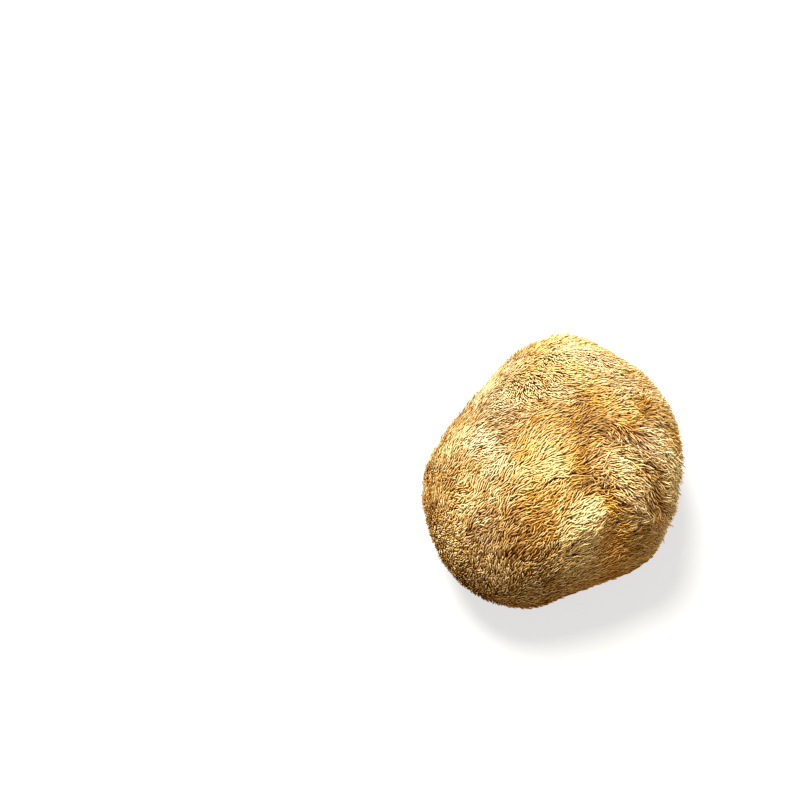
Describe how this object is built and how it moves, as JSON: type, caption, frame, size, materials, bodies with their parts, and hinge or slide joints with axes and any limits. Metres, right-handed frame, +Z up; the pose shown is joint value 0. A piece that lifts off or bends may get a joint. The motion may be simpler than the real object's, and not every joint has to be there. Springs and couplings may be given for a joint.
{
  "type": "lions mane mushroom",
  "caption": "Dried lion's mane mushroom head: a low lobed cushion covered all over in fine hanging spines combed to one side, cut flat underneath where it grew.",
  "frame": {"origin": "middle of the flat cut underneath, which the head rests on", "axes": "+Z up from the cut to the crown, +X the way the spines hang over the crown, +Y along the longer side of the head"},
  "size_m": [0.0873, 0.0964, 0.0582],
  "materials": {
    "dried_spines": "matt, dry and fibrous, straw to golden tan"
  },
  "bodies": {
    "root": {"fruiting_body": "dried_spines"}
  },
  "joints": []
}
